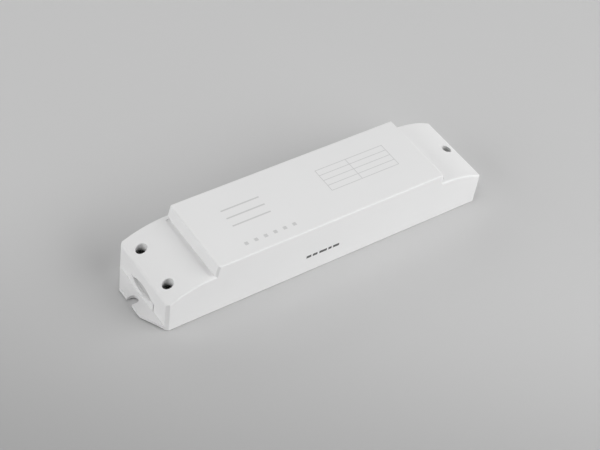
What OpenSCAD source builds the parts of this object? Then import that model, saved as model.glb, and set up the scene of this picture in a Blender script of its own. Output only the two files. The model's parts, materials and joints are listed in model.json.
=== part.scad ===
// LED driver in a low white plastic housing, in millimetres. X runs along the housing from the
// mains end to the output end, Z is up, and the origin lies under the middle of the base.

/* [Housing] */
// Length between the two end walls
body_l = 173; // [172:1:200]
// Width over the side walls
body_w = 42; // [41:0.5:52]
// Height of the raised middle
body_h = 28.8; // [28:0.2:38]
// Thickness of the cover's walls
wall = 2; // [1.6:0.1:2.4]
// Chamfer of the upright corners at the end walls
corner_c = 1.4; // [0.8:0.1:2]
// Chamfer of the raised middle's upright corners
middle_c = 0.9; // [0.5:0.1:1.5]
// Radius along the upper edges
edge_r = 0.9; // [0.4:0.1:1.1]
// Height of the side walls' lower edge above the standing surface
reveal = 0.3; // [0.1:0.1:1]

/* [Lower ends] */
// Length of each lower end
end_l = 24.1; // [23:0.1:27]
// Height at the foot of the step
step_z = 22.9; // [21.5:0.1:25]
// How much further out the step's wall stands at its foot than at its top
step_lean = 1.1; // [0.5:0.1:2]
// How much further in the output end's step stands
step_back = 1.2; // [0:0.1:2]
// Width of the groove along the step's foot
groove_w = 2.2; // [1:0.1:3]
// Depth of that groove
groove_d = 0.5; // [0.2:0.1:0.8]
// Distance of the groove's ends from the side walls' faces
groove_in = 2.5; // [2:0.1:5]
// Height of the curved top at the end wall
end_z = 16.6; // [16:0.1:19]
// Radius of the upper edge of each end wall
nose_r = 2.2; // [1:0.1:3]

/* [Base] */
// Thickness of the base plate and its mounting tabs
base_t = 2.4; // [2:0.1:3]
// How far a mounting tab reaches past the end wall
tab_l = 6.3; // [6:0.1:12]
// Width of a mounting tab where it meets the end wall
tab_root_w = 39.6; // [36:0.1:41]
// Width of a mounting tab at its tip
tab_tip_w = 17.6; // [12:0.1:30]
// Width of a fixing notch, for a 4 mm screw
notch_w = 4.6; // [4.2:0.1:6]
// Distance of a fixing notch's centre from the end wall
notch_out = 4.1; // [4:0.1:6]
// Height of a mounting tab's underside above the standing surface
tab_lift = 0.8; // [0.4:0.1:1]
// Gap between the base and the cover around it
base_gap = 0.15; // [0.1:0.05:0.4]

/* [Cable mouths] */
// Width of the mains cable's mouth
mains_mouth_w = 15.8; // [10:0.1:16]
// Height of the mains cable's mouth
mains_mouth_h = 5.4; // [5:0.1:7]
// Width of each output cable's mouth
output_mouth_w = 10; // [8:0.1:11]
// Height of each output cable's mouth
output_mouth_h = 5.6; // [5:0.1:7]
// Distance of each output mouth from the middle
output_mouth_y = 10.2; // [9.5:0.1:11]
// Height of a mouth's corners above the base plate
mouth_rise = 4.6; // [3.8:0.1:5]
// Depth of a mouth in front of the thin web that a fitter breaks out
web_in = 1.1; // [0.4:0.1:1.2]
// Thickness of that web
web_t = 0.8; // [0.6:0.1:1]
// How far a cradle's front stands out from the end wall
cradle_out = 0.3; // [0.2:0.1:1]
// Length of the cradle behind a mouth
cradle_l = 8; // [5:0.1:9]
// Thickness of a cradle's cheek beside its mouth
cheek_t = 2; // [1.5:0.1:2.2]

/* [Cover screws] */
// Distance of the mains end screws from the end wall
screw_in = 5.5; // [4.9:0.1:6]
// Distance of the output end screw from the end wall
output_screw_in = 6; // [4.9:0.1:6]
// Distance of each mains end screw from the middle
screw_y = 11.5; // [10.5:0.1:12]
// Diameter of a screw's shank
screw_d = 2.9; // [2.5:0.1:3.2]
// Length of a screw's shank
screw_l = 10; // [7:0.5:11]
// Diameter of a screw's head
head_d = 4.7; // [4.4:0.1:5.4]
// Height of a screw's head
head_h = 1.9; // [1.5:0.1:2.4]
// Depth of a head's top under the cover's surface
screw_sink = 2.7; // [1:0.1:3.5]
// Gap around a head and around a shank
screw_gap = 0.25; // [0.2:0.05:0.4]
// Thickness of the floor and wall of a screw well
well_t = 1.6; // [1.2:0.1:2]
// Diameter of a screw boss on the base
boss_d = 7; // [6:0.1:8]

/* [Circuit board] */
// Thickness of the circuit board
board_t = 1.6; // [1:0.1:2]
// Distance of the board's ends from the end walls
board_in = 11; // [10.5:0.1:12]
// Gap between the board's long edges and the cover's side walls
board_gap = 1.5; // [1.4:0.1:2]
// Height of the posts that carry the board
post_h = 3; // [2.5:0.1:4]
// Diameter of those posts
post_d = 5; // [4:0.1:6]
// Diameter of the pin on each corner post
pin_d = 2.3; // [1.8:0.1:2.6]
// Distance of the corner posts from the board's edges
post_in = 3.2; // [3:0.1:4]
// Gap around a pin in its hole
pin_gap = 0.15; // [0.1:0.05:0.3]
// Thickness of the hold-down ribs in the cover
rib_t = 1.6; // [1.2:0.1:2]
// Distance of the hold-down ribs from the board's ends
rib_in = 9; // [7:0.1:11]

/* [Terminals] */
// Number of poles in each terminal block
poles = 4; // [2:1:5]
// Distance between poles
pole_pitch = 5; // [5:0.1:5.5]
// Depth of a terminal block
block_l = 10.5; // [10:0.1:11]
// Height of a terminal block
block_h = 11; // [10.5:0.1:11.5]
// Length, width and height of a wire clamp
clamp_size = [4.5, 3.8, 5]; // [3.6:0.1:5.2]
// Diameter of a clamp screw's head
clamp_head_d = 3.4; // [3:0.1:3.8]
// Diameter of a clamp screw's shank
clamp_screw_d = 2.4; // [2:0.1:2.6]

/* [Mains side parts] */
// Length, width and height of the fuse
fuse_size = [4.2, 8.4, 8]; // [3:0.1:9]
// Diameter of the varistor disc
varistor_d = 10; // [7:0.5:12]
// Thickness of the varistor disc
varistor_t = 4.5; // [3:0.1:5]
// Length, width and height of the mains filter capacitor
filter_cap_size = [8.5, 18, 15]; // [5:0.5:19]
// Outer diameter of the choke's ring core
choke_d = 15; // [12:0.5:16]
// Bore of the choke's ring core
choke_bore = 8; // [7:0.5:9]
// Height of the choke's ring core
choke_h = 7; // [5:0.5:9]
// Thickness of the choke's windings
choke_wind_t = 1; // [0.6:0.1:1.4]
// Length, width and height of the bridge rectifier
bridge_size = [4, 14, 11]; // [3:0.5:15]
// Diameter of the bulk capacitor
bulk_d = 16; // [12:0.5:16.5]
// Height of the bulk capacitor
bulk_h = 16.5; // [12:0.5:19]
// Length, thickness and height of the switch's heat sink
sink_size = [22, 1.6, 16.5]; // [1:0.1:22]

/* [Output side parts] */
// Length of the transformer core
core_l = 26; // [24:0.5:28]
// Width of the transformer core
core_w = 25; // [24:0.5:26]
// Thickness of the transformer core
core_t = 7; // [6:0.5:8]
// Width of the core's back bars
core_bar = 4; // [3.5:0.1:4.5]
// Width of the core's side legs
core_leg = 3.3; // [3:0.1:3.6]
// Diameter of the insulation capacitor's disc
guard_cap_d = 9; // [7:0.5:10]
// Thickness of the insulation capacitor's disc
guard_cap_t = 3.4; // [2.5:0.1:3.8]
// Diameter of the output diode
diode_d = 5.3; // [4:0.1:5.6]
// Length of the output diode
diode_l = 9.5; // [7:0.5:10]
// Diameter of each output capacitor
output_cap_d = 10; // [8:0.5:10]
// Height of each output capacitor
output_cap_h = 16; // [11:0.5:19]
// Diameter of the output choke
output_choke_d = 8; // [6:0.5:8]
// Height of the output choke
output_choke_h = 10; // [8:0.5:10.5]
// Length, width and height of the optocoupler
opto_size = [6.4, 4.6, 3.4]; // [3:0.1:7]

/* [Hidden] */
$fn = 96;
arc_fn = 240;
cut = 1;

// Step between the raised middle and a lower end: half way up its wall, and the wall's lean
step_x = body_l / 2 - end_l;
step_run = step_lean / (body_h - step_z);
lean = atan(step_run);

// Curved top of the lower ends
drop = step_z - end_z;
arc_r = (end_l * end_l + drop * drop) / (2 * drop);
arc_z = step_z - arc_r;
arc_sweep = 60;
arc_under = 4;
arc_lap = asin(arc_under / arc_r);
nose_lift = 0.04;
inner_w = body_w - 2 * wall;

// Cover screws: the height of their seats, and one row per screw with its place along and across
screw_x = body_l / 2 - screw_in;
seat_z = arc_z + sqrt(arc_r * arc_r - pow(screw_x - step_x, 2)) - screw_sink - head_h;
well_d = head_d + 2 * screw_gap + 2 * well_t;
boss_reach = body_l / 2 - wall - base_gap;
screw_spots = [[-screw_x, -screw_y], [-screw_x, screw_y], [body_l / 2 - output_screw_in, 0]];
recess_l = 2.9;
recess_w = 0.8;
recess_h = 1;

// Cable mouths: end, place across, width and height
mouths = [
    [-1, 0, mains_mouth_w, mains_mouth_h],
    [1, -output_mouth_y, output_mouth_w, output_mouth_h],
    [1, output_mouth_y, output_mouth_w, output_mouth_h]
];
mouth_z = base_t + mouth_rise;
mouth_cut = 3 * wall;

// Circuit board and what stands on it
board_l = body_l - 2 * board_in;
board_w = inner_w - 2 * board_gap;
board_z = base_t + post_h;
board_top = board_z + board_t;
post_x = board_l / 2 - post_in;
post_y = board_w / 2 - post_in;
pin_stand = 1;
rim_t = 1.1;
lead_d = 0.8;
lead_h = 1.2;
lead_spread = 0.7;
part_fit = 0.05;
can_rim_r = 1;

// Row of parts along the board: their lengths from the mains end on, with equal gaps between them
row = [
    block_l, max(fuse_size.x, varistor_t), filter_cap_size.x, choke_d + 3 * choke_wind_t,
    bridge_size.x, bulk_d, core_l, opto_size.x + lead_d, output_cap_d, output_choke_d, block_l
];
row_gap = (board_l - row_sum(len(row))) / (len(row) - 1);
fuse_x = row_place(1);
filter_cap_x = row_place(2);
choke_x = row_place(3);
bridge_x = row_place(4);
bulk_x = row_place(5);
sink_x = (bridge_x - bridge_size.x / 2 + bulk_x + bulk_d / 2) / 2;
transformer_x = row_place(6);
diode_x = row_place(7);
output_cap_x = row_place(8);
output_choke_x = row_place(9);

// Places across the board
quarter_y = board_w / 4;
part_edge = board_w / 2 - 1.5;
sink_y = part_edge - sink_size.y;
diode_y = part_edge - diode_l / 2;
opto_y = opto_size.y / 2 - part_edge;
guard_cap_y = (diode_y - diode_l / 2 + opto_y + opto_size.y / 2) / 2;

// Terminal block: side profile and the pockets in it
block_cheek = 0.4;
block_w = poles * pole_pitch + 2 * block_cheek;
block_front = 2.5;
block_brow = 3.5;
pocket_z = 1.2;
clamp_x = 4;
clamp_cover = 2;
shoulder_z = pocket_z + clamp_size.z + clamp_cover;
clamp_head_h = 1.6;
clamp_slot_w = 0.8;
clamp_wall = 0.8;
clamp_roof = 1.4;
clamp_reach = 4.6;

// Choke, transformer and switch; the window is the winding space between the core's bars and legs
carrier_h = 1.5;
choke_sector = 130;
core_centre = 7;
roof_gap = 2.2;
flange_h = body_h - wall - board_top - lead_h - roof_gap;
core_mid = lead_h + flange_h / 2;
window_l = core_l - 2 * core_bar;
window_w = core_w - 2 * core_leg;
flange_t = 1.2;
tube_t = 1;
sink_leg = 1;
sink_leg_w = 2;
switch_w = 10;
switch_t = 4.4;
switch_tab_t = 1.3;
switch_lead = 1.5;
switch_body_h = 9;
switch_tab_h = 14.5;
switch_screw_z = switch_lead + 12.1;
switch_screw_d = 2.9;
switch_head_d = 5.4;
switch_head_h = 1.8;

// Parts under the board
chip_size = [5, 6, 1.5];
small_chip = [3.2, 1.6, 0.7];
small_rows = 2;
small_columns = 7;
small_pitch = [7, 9];

function mirrored(side) = side < 0 ? [1, 0, 0] : [0, 0, 0];

function row_sum(count) = count == 0 ? 0 : row[count - 1] + row_sum(count - 1);

// Middle of the row's piece i
function row_place(i) = row_sum(i) + i * row_gap + (row[i] - board_l) / 2;

module along_x(l) rotate([90, 0, 90]) linear_extrude(l, center = true) children();

module along_y(l) rotate([90, 0, 0]) linear_extrude(l, center = true) children();

// Section of width w and height h that stands on the axis, with its upper corners rounded
module crowned(w, h, r) {
    translate([-w / 2, 0]) square([w, h - r]);
    translate([r - w / 2, 0]) square([w - 2 * r, h]);
    for (s = [-1, 1]) translate([s * (w / 2 - r), h - r]) circle(r);
}

// Round post with a rounded upper rim
module crowned_post(d, h, r) {
    rotate_extrude() intersection() {
        crowned(d, h, r);
        square([d / 2, h]);
    }
}

// Oblong of length l and width w with its corners cut off
module chamfered_plan(l, w, c) {
    x = l / 2;
    y = w / 2;
    polygon([
        [c - x, -y], [x - c, -y], [x, c - y], [x, y - c], [x - c, y], [c - x, y], [-x, y - c], [-x, c - y]
    ]);
}

// Pointed oval of width w and height h, drawn out along X
module pointed_oval(w, h, l) {
    r = (w * w + h * h) / (4 * h);
    intersection() {
        translate([0, 0, r - h / 2]) rotate([0, 90, 0]) cylinder(r = r, h = l, center = true);
        translate([0, 0, h / 2 - r]) rotate([0, 90, 0]) cylinder(r = r, h = l, center = true);
    }
}

// Distance of a step's wall from the middle at a height, on the mains side or the output side
function wall_x(side, z) = step_x + step_run * ((step_z + body_h) / 2 - z) - (side > 0 ? step_back : 0);

// Side view of one half of the raised middle: a leaning step wall with its upper edge rounded
module middle_profile(side) {
    reach = edge_r * tan(45 - lean / 2);
    top = wall_x(side, body_h) - reach;
    low = step_z - cut;
    polygon([
        [-cut, 0], [wall_x(side, low), 0], [wall_x(side, low), low],
        [wall_x(side, body_h) + reach * sin(lean), body_h - reach * cos(lean)], [top, body_h], [-cut, body_h]
    ]);
    translate([top, body_h - edge_r]) circle(edge_r);
}

// Raised middle, with rounded edges all round its top and chamfers that lean with the step walls
module raised_middle() {
    difference() {
        intersection() {
            along_x(2 * step_x + end_l) crowned(body_w, body_h, edge_r);
            for (side = [-1, 1]) mirror(mirrored(side)) along_y(body_w + 2 * cut) middle_profile(side);
        }
        for (side = [-1, 1], sy = [-1, 1]) mirror(mirrored(side))
            translate([wall_x(side, step_z), sy * body_w / 2, step_z]) rotate([0, -lean, 0]) rotate(sy * 45)
                translate([end_l / 2 - middle_c / sqrt(2), 0, 0]) cube(end_l, center = true);
    }
}

// Side view of a lower end's nose: it rounds the edge between the curved top and the end wall
module nose_profile() {
    reach = end_l - nose_r;
    touch = step_x + reach * arc_r / (arc_r - nose_r);
    nose_z = arc_z + sqrt(pow(arc_r - nose_r, 2) - reach * reach) + nose_lift;
    back = step_x - 2 * arc_under;
    translate([back, 0]) square([touch - back, body_h]);
    translate([back, 0]) square([body_l / 2 - back, nose_z]);
    translate([body_l / 2 - nose_r, nose_z]) circle(nose_r);
}

// Lower end, whose top falls on an arc from the step to the end wall
module lower_end(side) {
    mirror(mirrored(side)) intersection() {
        translate([step_x, 0, arc_z]) rotate([90, 0, 0]) rotate(90 - arc_sweep)
            rotate_extrude(angle = arc_sweep + arc_lap, $fn = arc_fn)
                rotate(-90) crowned(body_w, arc_r, edge_r);
        along_y(body_w + 2 * cut) nose_profile();
        linear_extrude(body_h) chamfered_plan(body_l, body_w, corner_c);
    }
}

// Hollow of the cover, open below
module cover_hollow() {
    along_y(inner_w) {
        translate([wall - step_x, -cut]) square([2 * (step_x - wall) - step_back, body_h - wall + cut]);
        intersection() {
            translate([wall - body_l / 2, -cut]) square([body_l - 2 * wall, step_z + cut]);
            union() {
                translate([-step_x, -cut]) square([2 * step_x, step_z - wall + cut]);
                for (s = [-1, 1]) translate([s * step_x, arc_z]) circle(arc_r - wall, $fn = arc_fn);
            }
        }
    }
}

// What stays standing inside the hollow: the screw wells and the hold-down ribs
module cover_insides() {
    for (p = screw_spots) translate([p.x, p.y, seat_z - well_t]) cylinder(d = well_d, h = body_h);
    for (sx = [-1, 1], sy = [-1, 1])
        translate([sx * (board_l / 2 - rib_in) - rib_t / 2, sy * (board_w / 2) - board_gap, board_top])
            cube([rib_t, 2 * board_gap, body_h]);
}

module cover_cuts() {
    difference() {
        cover_hollow();
        cover_insides();
    }
    translate([-body_l, -body_w, -cut]) cube([2 * body_l, 2 * body_w, reveal + cut]);
    translate([-body_l / 2 - cut, -inner_w / 2, -cut]) cube([body_l + 2 * cut, inner_w, base_t + cut]);
    for (p = screw_spots) translate([p.x, p.y, seat_z]) {
        cylinder(d = head_d + 2 * screw_gap, h = body_h);
        translate([0, 0, -well_t - cut]) cylinder(d = screw_d + 2 * screw_gap, h = well_t + 2 * cut);
    }
    groove_l = body_w - 2 * groove_in;
    for (side = [-1, 1]) mirror(mirrored(side))
        translate([wall_x(side, step_z + groove_d), -groove_l / 2, step_z - groove_d])
            cube([groove_w, groove_l, step_z]);
    for (m = mouths) translate([m[0] * body_l / 2, m[1], mouth_z]) {
        pointed_oval(m[2], m[3], mouth_cut);
        slot_w = m[2] + 2 * cheek_t + 2 * base_gap;
        translate([-mouth_cut / 2, -slot_w / 2, -mouth_z]) cube([mouth_cut, slot_w, mouth_z + base_gap]);
    }
}

module cover() {
    color("whitesmoke") difference() {
        union() {
            raised_middle();
            for (side = [-1, 1]) lower_end(side);
        }
        cover_cuts();
    }
}

// Mounting tab at one end, its underside a little above the standing surface
module mounting_tab(side) {
    x = body_l / 2;
    tip_x = x + tab_l;
    mirror(mirrored(side)) translate([0, 0, tab_lift]) linear_extrude(base_t - tab_lift) polygon([
        [x, -tab_root_w / 2], [tip_x, -tab_tip_w / 2], [tip_x, tab_tip_w / 2], [x, tab_root_w / 2]
    ]);
}

// Block with the lower half of a cable mouth, and the whole of the mouth's web
module cable_cradle(m) {
    w = m[2] + 2 * cheek_t;
    l = cradle_l + cradle_out;
    web_x = body_l / 2 - web_in - web_t / 2;
    mirror(mirrored(m[0])) {
        difference() {
            translate([body_l / 2 - cradle_l, m[1] - w / 2, 0]) cube([l, w, mouth_z]);
            for (s = [-1, 1]) translate([web_x + s * (l + web_t / 2), m[1], mouth_z])
                pointed_oval(m[2], m[3], 2 * l);
        }
        translate([web_x, m[1], mouth_z]) pointed_oval(m[2] - 2 * base_gap, m[3] - 2 * base_gap, web_t);
    }
}

module base() {
    plate_w = inner_w - 2 * base_gap;
    color("gainsboro") difference() {
        union() {
            translate([-body_l / 2, -plate_w / 2, 0]) cube([body_l, plate_w, base_t]);
            for (side = [-1, 1]) mounting_tab(side);
            for (m = mouths) cable_cradle(m);
            intersection() {
                for (p = screw_spots) translate([p.x, p.y, 0]) cylinder(d = boss_d, h = seat_z - well_t);
                translate([-boss_reach, -plate_w / 2, 0]) cube([2 * boss_reach, plate_w, body_h]);
            }
            for (x = [-post_x, 0, post_x], y = [-post_y, post_y]) translate([x, y, 0])
                cylinder(d = post_d, h = board_z);
            for (x = [-post_x, post_x], y = [-post_y, post_y]) translate([x, y, 0])
                cylinder(d = pin_d, h = board_top + pin_stand);
            for (s = [-1, 1]) translate([-board_l / 2, s * (plate_w - rim_t) / 2 - rim_t / 2, 0])
                cube([board_l, rim_t, board_z]);
        }
        for (p = screw_spots) translate([p.x, p.y, base_t])
            cylinder(d = screw_d + screw_gap / 2, h = seat_z);
        for (side = [-1, 1]) mirror(mirrored(side)) translate([body_l / 2 + notch_out, 0, -cut]) {
            cylinder(d = notch_w, h = base_t + 2 * cut);
            translate([0, -notch_w / 2, 0]) cube([tab_l, notch_w, base_t + 2 * cut]);
        }
    }
}

module cover_screws() {
    color("dimgray") for (p = screw_spots) translate([p.x, p.y, seat_z]) difference() {
        union() {
            crowned_post(head_d, head_h, head_h / 3);
            translate([0, 0, -screw_l]) cylinder(d = screw_d, h = screw_l + head_h / 2);
        }
        for (a = [0, 90]) rotate(a) translate([-recess_l / 2, -recess_w / 2, head_h - recess_h])
            cube([recess_l, recess_w, recess_h + cut]);
    }
}

module circuit_board() {
    color("darkgreen") difference() {
        translate([-board_l / 2, -board_w / 2, board_z]) cube([board_l, board_w, board_t]);
        for (x = [-post_x, post_x], y = [-post_y, post_y]) translate([x, y, board_z - cut])
            cylinder(d = pin_d + 2 * pin_gap, h = board_t + 2 * cut);
    }
}

// Puts a terminal block's piece at its end of the board, with its wire side facing the end wall
module at_terminal(side) {
    mirror(mirrored(side)) translate([board_l / 2, 0, board_top]) mirror([1, 0, 0]) children();
}

module each_pole() {
    for (i = [0 : poles - 1]) translate([0, (i - (poles - 1) / 2) * pole_pitch, 0]) children();
}

module terminal_body() {
    pocket_w = clamp_size.y + 4 * part_fit;
    pocket_h = clamp_size.z + 4 * part_fit;
    difference() {
        along_y(block_w) polygon([
            [0, 0], [block_l, 0], [block_l, block_h - block_front], [block_l - block_front, block_h],
            [block_front, block_h], [0, block_h - block_brow]
        ]);
        each_pole() {
            translate([-cut, -pocket_w / 2, pocket_z])
                cube([clamp_x + clamp_size.x + 2 * part_fit + cut, pocket_w, pocket_h]);
            translate([clamp_x + clamp_size.x / 2, 0, pocket_z])
                cylinder(d = clamp_screw_d + 4 * part_fit, h = block_h);
            translate([clamp_x + clamp_size.x / 2, 0, shoulder_z])
                cylinder(d = clamp_head_d + 4 * part_fit, h = block_h);
        }
    }
}

module terminal_clamps() {
    gate_w = clamp_size.y - 2 * clamp_wall;
    gate_h = clamp_size.z - clamp_wall - clamp_roof;
    each_pole() translate([clamp_x, 0, pocket_z]) difference() {
        translate([0, -clamp_size.y / 2, 0]) cube(clamp_size);
        translate([-cut, -gate_w / 2, clamp_wall]) cube([clamp_size.x + 2 * cut, gate_w, gate_h]);
        translate([clamp_size.x / 2, 0, clamp_wall])
            cylinder(d = clamp_screw_d + 2 * part_fit, h = clamp_size.z);
    }
}

module terminal_screws() {
    each_pole() translate([clamp_x + clamp_size.x / 2, 0, shoulder_z]) difference() {
        union() {
            cylinder(d = clamp_head_d, h = clamp_head_h);
            translate([0, 0, -clamp_reach])
                cylinder(d = clamp_screw_d, h = clamp_reach + clamp_head_h / 2);
        }
        translate([-clamp_head_d, -clamp_slot_w / 2, clamp_head_h / 2])
            cube([2 * clamp_head_d, clamp_slot_w, clamp_head_h]);
    }
}

module mains_terminal_body() { color("gray") at_terminal(-1) terminal_body(); }
module mains_terminal_clamps() { color("silver") at_terminal(-1) terminal_clamps(); }
module mains_terminal_screws() { color("silver") at_terminal(-1) terminal_screws(); }
module output_terminal_body() { color("gray") at_terminal(1) terminal_body(); }
module output_terminal_clamps() { color("silver") at_terminal(1) terminal_clamps(); }
module output_terminal_screws() { color("silver") at_terminal(1) terminal_screws(); }

module on_board(x, y) translate([x, y, board_top]) children();

// Leads that stand on the board in a row across it
module leads(count, pitch, h) {
    for (i = [0 : count - 1]) translate([0, (i - (count - 1) / 2) * pitch, 0]) cylinder(d = lead_d, h = h);
}

// Boxed part on a row of leads
module boxed_part(size, count) {
    translate([-size.x / 2, -size.y / 2, lead_h]) cube(size);
    leads(count, lead_spread * size.y / (count - 1), lead_h + size.z / 2);
}

// Upright disc on two leads, with its axis along X
module disc_part(d, t) {
    translate([0, 0, lead_h + d / 2]) rotate([0, 90, 0]) cylinder(d = d, h = t, center = true);
    leads(2, d / 2, lead_h + d / 2);
}

module fuse() {
    color("saddlebrown") on_board(fuse_x, -quarter_y) boxed_part(fuse_size, 2);
}

module varistor() {
    color("royalblue") on_board(fuse_x, quarter_y) disc_part(varistor_d, varistor_t);
}

module filter_capacitor() {
    color("gold") on_board(filter_cap_x, 0) boxed_part(filter_cap_size, 2);
}

module choke_carrier() {
    color("black") on_board(choke_x, 0) cylinder(d = choke_d + 3 * choke_wind_t, h = carrier_h);
}

module choke_core() {
    color("darkslategray") on_board(choke_x, 0) translate([0, 0, carrier_h + choke_wind_t]) difference() {
        cylinder(d = choke_d, h = choke_h);
        translate([0, 0, -cut]) cylinder(d = choke_bore, h = choke_h + 2 * cut);
    }
}

module choke_windings() {
    ring_w = (choke_d - choke_bore) / 2;
    color("peru") on_board(choke_x, 0) translate([0, 0, carrier_h])
        for (a = [90, 270]) rotate(a - choke_sector / 2) rotate_extrude(angle = choke_sector) difference() {
            translate([choke_bore / 2 - choke_wind_t, 0])
                square([ring_w + 2 * choke_wind_t, choke_h + 2 * choke_wind_t]);
            translate([choke_bore / 2 - part_fit, choke_wind_t - part_fit])
                square([ring_w + 2 * part_fit, choke_h + 2 * part_fit]);
        }
}

module bridge_rectifier() {
    color("dimgray") on_board(bridge_x, -quarter_y) boxed_part(bridge_size, 4);
}

module bulk_capacitor() {
    color("midnightblue") on_board(bulk_x, -quarter_y) crowned_post(bulk_d, bulk_h, can_rim_r);
}

module switch_heat_sink() {
    color("silver") on_board(sink_x, sink_y) difference() {
        translate([-sink_size.x / 2, 0, 0]) {
            translate([0, 0, sink_leg]) cube(sink_size - [0, 0, sink_leg]);
            for (x = [0, sink_size.x - sink_leg_w]) translate([x, 0, 0])
                cube([sink_leg_w, sink_size.y, sink_leg + cut]);
        }
        translate([0, -cut, switch_screw_z]) rotate([-90, 0, 0])
            cylinder(d = switch_screw_d + 2 * part_fit, h = sink_size.y + 2 * cut);
    }
}

module switch_transistor() {
    color("dimgray") on_board(sink_x, sink_y) difference() {
        union() {
            translate([-switch_w / 2, -switch_t, switch_lead]) cube([switch_w, switch_t, switch_body_h]);
            translate([-switch_w / 2, -switch_tab_t, switch_lead])
                cube([switch_w, switch_tab_t, switch_tab_h]);
            translate([0, -switch_t / 2, 0]) rotate(90) leads(3, switch_w / 4, switch_lead + cut);
        }
        translate([0, -switch_tab_t - cut, switch_screw_z]) rotate([-90, 0, 0])
            cylinder(d = switch_screw_d + 2 * part_fit, h = switch_tab_t + 2 * cut);
    }
}

module transistor_screw() {
    color("silver") on_board(sink_x, sink_y - switch_tab_t) translate([0, 0, switch_screw_z])
        rotate([-90, 0, 0]) {
            cylinder(d = switch_screw_d, h = switch_tab_t + sink_size.y);
            translate([0, 0, -switch_head_h]) cylinder(d = switch_head_d, h = switch_head_h);
        }
}

module transformer_core() {
    slot_w = (window_w - core_centre) / 2;
    color("darkslategray") on_board(transformer_x, 0) translate([0, 0, core_mid]) difference() {
        cube([core_l, core_w, core_t], center = true);
        for (s = [-1, 1]) translate([0, s * (core_centre + slot_w) / 2, 0])
            cube([window_l, slot_w, core_t + 2 * cut], center = true);
    }
}

module bobbin_tube(l, grow) {
    w = core_centre + 2 * part_fit + 2 * grow;
    h = core_t + 2 * part_fit + 2 * grow;
    cube([l, w, h], center = true);
}

module transformer_bobbin() {
    flange_w = window_w - 4 * part_fit;
    rail_w = core_w - 2 * core_leg;
    rail_h = core_mid - core_t / 2 - part_fit;
    color("ivory") on_board(transformer_x, 0) difference() {
        union() {
            translate([0, 0, core_mid]) bobbin_tube(window_l - 2 * part_fit, tube_t);
            for (s = [-1, 1]) {
                translate([s * (window_l / 2 - part_fit - flange_t / 2), 0, core_mid])
                    cube([flange_t, flange_w, flange_h], center = true);
                translate([s * (window_l / 2 + core_bar / 2 - flange_t / 2), 0, rail_h / 2])
                    cube([core_bar + flange_t, rail_w, rail_h], center = true);
            }
        }
        translate([0, 0, core_mid]) bobbin_tube(core_l, 0);
    }
}

module transformer_winding() {
    wind_l = window_l - 2 * flange_t - 4 * part_fit;
    wind_w = window_w - 8 * part_fit;
    wind_h = flange_h - 8 * part_fit;
    color("khaki") on_board(transformer_x, 0) translate([0, 0, core_mid]) difference() {
        cube([wind_l, wind_w, wind_h], center = true);
        bobbin_tube(core_l, tube_t + part_fit);
    }
}

module insulation_capacitor() {
    color("steelblue") on_board(diode_x, guard_cap_y) disc_part(guard_cap_d, guard_cap_t);
}

module output_diode() {
    color("black") on_board(diode_x, diode_y) translate([0, 0, diode_d / 2]) rotate([90, 0, 0])
        cylinder(d = diode_d, h = diode_l, center = true);
}

module optocoupler() {
    color("black") on_board(diode_x, opto_y) {
        translate([-opto_size.x / 2, -opto_size.y / 2, lead_h / 2]) cube(opto_size);
        for (s = [-1, 1]) translate([s * opto_size.x / 2, 0, 0])
            leads(2, opto_size.y / 2, (lead_h + opto_size.z) / 2);
    }
}

module output_capacitors() {
    color("midnightblue") for (s = [-1, 1]) on_board(output_cap_x, s * quarter_y)
        crowned_post(output_cap_d, output_cap_h, can_rim_r);
}

module output_choke_core() {
    color("darkslategray") on_board(output_choke_x, 0) {
        for (z = [0, output_choke_h - flange_t]) translate([0, 0, z])
            cylinder(d = output_choke_d, h = flange_t);
        cylinder(d = output_choke_d / 2, h = output_choke_h);
    }
}

module output_choke_winding() {
    wind_h = output_choke_h - 2 * flange_t - 2 * part_fit;
    color("peru") on_board(output_choke_x, 0) translate([0, 0, flange_t + part_fit]) difference() {
        cylinder(d = output_choke_d - flange_t, h = wind_h);
        translate([0, 0, -cut]) cylinder(d = output_choke_d / 2 + 2 * part_fit, h = wind_h + 2 * cut);
    }
}

module control_chip() {
    color("black") translate([bulk_x, 0, board_z - chip_size.z / 2]) cube(chip_size, center = true);
}

module chip_parts() {
    color("tan") for (i = [0 : small_columns - 1], j = [0 : small_rows - 1])
        translate([
            transformer_x + (i - 1) * small_pitch.x, (j - (small_rows - 1) / 2) * small_pitch.y,
            board_z - small_chip.z / 2
        ]) cube(small_chip, center = true);
}

base();
cover();
cover_screws();
circuit_board();
mains_terminal_body();
mains_terminal_clamps();
mains_terminal_screws();
output_terminal_body();
output_terminal_clamps();
output_terminal_screws();
fuse();
varistor();
filter_capacitor();
choke_carrier();
choke_core();
choke_windings();
bridge_rectifier();
bulk_capacitor();
switch_heat_sink();
switch_transistor();
transistor_screw();
transformer_core();
transformer_bobbin();
transformer_winding();
insulation_capacitor();
output_diode();
optocoupler();
output_capacitors();
output_choke_core();
output_choke_winding();
control_chip();
chip_parts();
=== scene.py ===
import json
from math import cos, pi, radians, sin

import bmesh
import bpy
from mathutils import Matrix, Vector


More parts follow.
